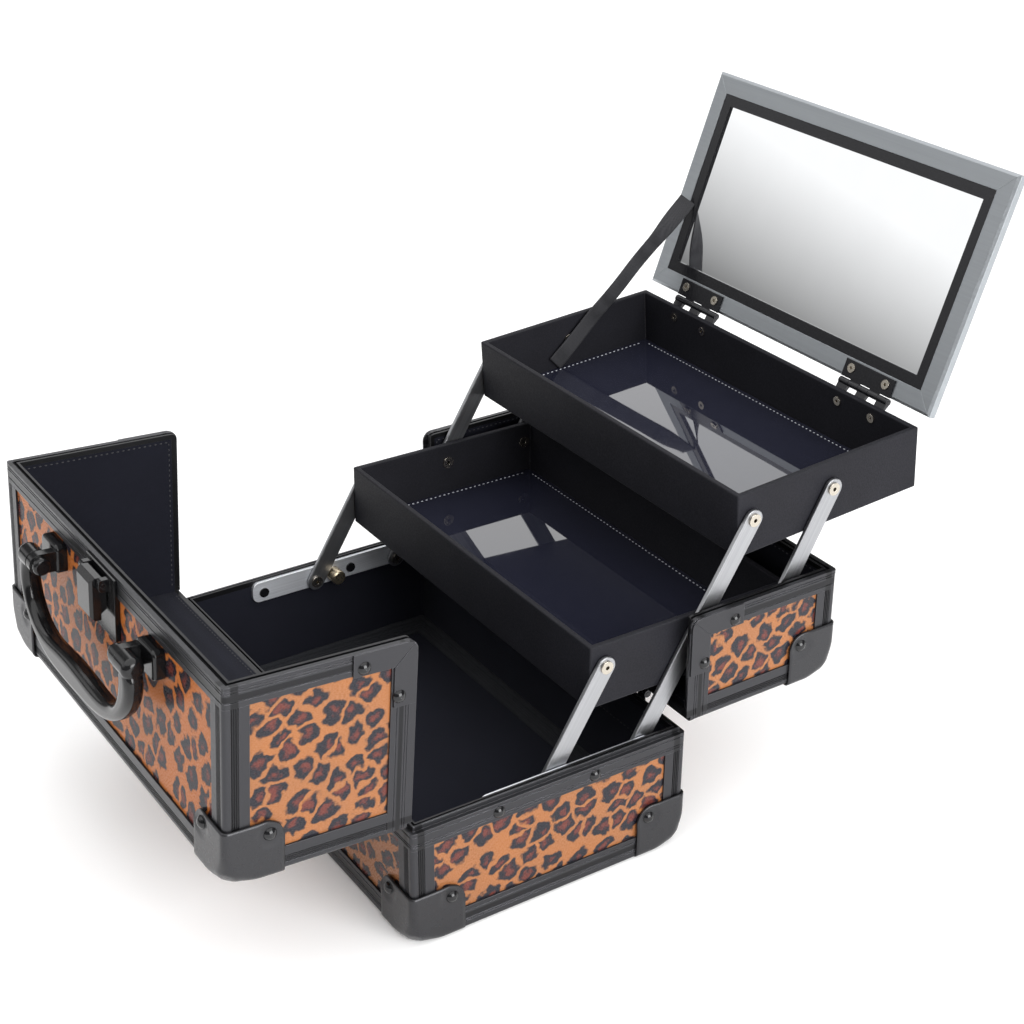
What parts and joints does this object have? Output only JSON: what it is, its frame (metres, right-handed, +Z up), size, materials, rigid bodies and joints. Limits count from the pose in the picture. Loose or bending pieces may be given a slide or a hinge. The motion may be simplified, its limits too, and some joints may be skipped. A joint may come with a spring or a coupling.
{
  "type": "makeup train case",
  "caption": "Framed cosmetic train case standing open: two hinged half lids, cantilever trays that fold out on lever arms, and a tilting mirror on the upper tray.",
  "frame": {"origin": "centre of the floor board's underside, on which the case stands", "axes": "+Z up; -Y towards the front, where the lid with the handle opens; +X to the right seen from the front"},
  "size_m": [0.2454, 0.4453, 0.2997],
  "materials": {
    "printed_board": "hardboard faced with a glossy leopard-print film",
    "lining_fabric": "fine black woven lining with stitched edges",
    "dark_frame": "satin dark-grey anodised extrusion with grooves",
    "dark_cap": "satin dark-grey coated pressing",
    "dark_rivet": "semi-gloss black",
    "black_hinge": "gloss black coating",
    "arm_aluminium": "drawn, with fine lines along its length",
    "nickel_rivet": "polished nickel",
    "brass_stud": "knurled and polished",
    "black_plastic": "glossy, softly worn",
    "tray_board": "board covered with black leather cloth",
    "clear_sheet": "thin clear plastic sheet",
    "mirror_rail": "satin silver",
    "mirror_black": "black",
    "mirror_glass": "silvered",
    "black_ribbon": "woven ribbon"
  },
  "bodies": {
    "base": {"base_floor_panel": "printed_board", "base_long_panels": "printed_board", "base_side_panels": "printed_board", "base_lining": "lining_fabric", "base_top_rim": "dark_frame", "base_bottom_rail": "dark_frame", "base_corner_posts": "dark_frame", "base_corner_caps": "dark_cap", "base_rivets": "dark_rivet", "hinge_base_leaves": "black_hinge", "hinge_pins": "black_hinge", "arm_brackets": "arm_aluminium", "arm_pivot_rivets": "nickel_rivet", "arm_stop_studs": "brass_stud"},
    "front_lid": {"front_lid_top_panel": "printed_board", "front_lid_front_panel": "printed_board", "front_lid_side_panels": "printed_board", "front_lid_lining": "lining_fabric", "front_lid_frame": "dark_frame", "front_lid_corner_caps": "dark_cap", "front_lid_mitre_brackets": "dark_frame", "front_lid_rivets": "dark_rivet", "front_lid_hinge_leaves": "black_hinge", "handle_mounts": "black_plastic", "handle_and_latch_pins": "nickel_rivet", "latch_base": "black_plastic"},
    "rear_lid": {"rear_lid_top_panel": "printed_board", "rear_lid_rear_panel": "printed_board", "rear_lid_side_panels": "printed_board", "rear_lid_lining": "lining_fabric", "rear_lid_frame": "dark_frame", "rear_lid_corner_caps": "dark_cap", "rear_lid_mitre_brackets": "dark_frame", "rear_lid_rivets": "dark_rivet", "rear_lid_hinge_leaves": "black_hinge", "latch_keeper": "black_plastic"},
    "handle": {"handle_grip": "black_plastic"},
    "latch": {"latch_lever": "black_plastic"},
    "long_arms": {"long_arm_left": "arm_aluminium", "long_arm_right": "arm_aluminium"},
    "front_arms": {"front_arm_left": "arm_aluminium", "front_arm_right": "arm_aluminium"},
    "rear_arms": {"rear_arm_left": "arm_aluminium", "rear_arm_right": "arm_aluminium"},
    "lower_tray": {"lower_tray_box": "tray_board", "lower_tray_floor_sheet": "clear_sheet", "lower_tray_rivets": "nickel_rivet"},
    "upper_tray": {"upper_tray_box": "tray_board", "upper_tray_floor_sheet": "clear_sheet", "upper_tray_rivets": "nickel_rivet", "mirror_hinge_tray_leaves": "black_hinge", "mirror_hinge_pins": "black_hinge", "mirror_strap": "black_ribbon"},
    "mirror": {"mirror_frame": "mirror_rail", "mirror_border": "mirror_black", "mirror_glass": "mirror_glass", "mirror_backing": "mirror_black", "mirror_hinge_leaves": "black_hinge", "mirror_rivets": "nickel_rivet"}
  },
  "joints": [
    {"name": "tray_lift", "type": "hinge", "parent": "base", "child": "long_arms", "pos_m": [0, 0.051, 0.0562], "axis": [1, 0, 0], "range_deg": [0, 89.7]},
    {"name": "front_arm_turn", "type": "hinge", "parent": "base", "child": "front_arms", "pos_m": [0, 0.001, 0.0562], "axis": [1, 0, 0], "range_deg": [0, 89.7]},
    {"name": "lower_tray_level", "type": "hinge", "parent": "long_arms", "child": "lower_tray", "pos_m": [0, 0.0827, 0.10855], "axis": [1, 0, 0], "range_deg": [-89.7, 0]},
    {"name": "rear_arm_turn", "type": "hinge", "parent": "lower_tray", "child": "rear_arms", "pos_m": [0, 0.1327, 0.10855], "axis": [1, 0, 0], "range_deg": [0, 87.51]},
    {"name": "upper_tray_level", "type": "hinge", "parent": "long_arms", "child": "upper_tray", "pos_m": [0, 0.11441, 0.1609], "axis": [1, 0, 0], "range_deg": [-93.72, 0]},
    {"name": "mirror_tilt", "type": "hinge", "parent": "upper_tray", "child": "mirror", "pos_m": [0, 0.22023, 0.18434], "axis": [1, 0, 0], "range_deg": [0, 114.5], "deforming": ["mirror_strap"]},
    {"name": "front_lid_hinge", "type": "hinge", "parent": "base", "child": "front_lid", "pos_m": [0, -0.0772, 0.065], "axis": [1, 0, 0], "range_deg": [-86.7, 0]},
    {"name": "rear_lid_hinge", "type": "hinge", "parent": "base", "child": "rear_lid", "pos_m": [0, 0.0772, 0.065], "axis": [1, 0, 0], "range_deg": [0, 5]},
    {"name": "handle_swing", "type": "hinge", "parent": "front_lid", "child": "handle", "pos_m": [0, -0.17059, 0.14771], "axis": [1, 0, 0], "range_deg": [-165, 0]},
    {"name": "latch_swing", "type": "hinge", "parent": "front_lid", "child": "latch", "pos_m": [0, -0.1624, 0.16126], "axis": [1, 0, 0], "range_deg": [-70, 0]}
  ],
  "couplings": [
    {"joint": "front_arm_turn", "follows": "tray_lift", "ratio": 1},
    {"joint": "lower_tray_level", "follows": "tray_lift", "ratio": -1},
    {"joint": "rear_arm_turn", "follows": "tray_lift", "ratio": 0.97547},
    {"joint": "upper_tray_level", "follows": "tray_lift", "ratio": -1.0446}
  ]
}
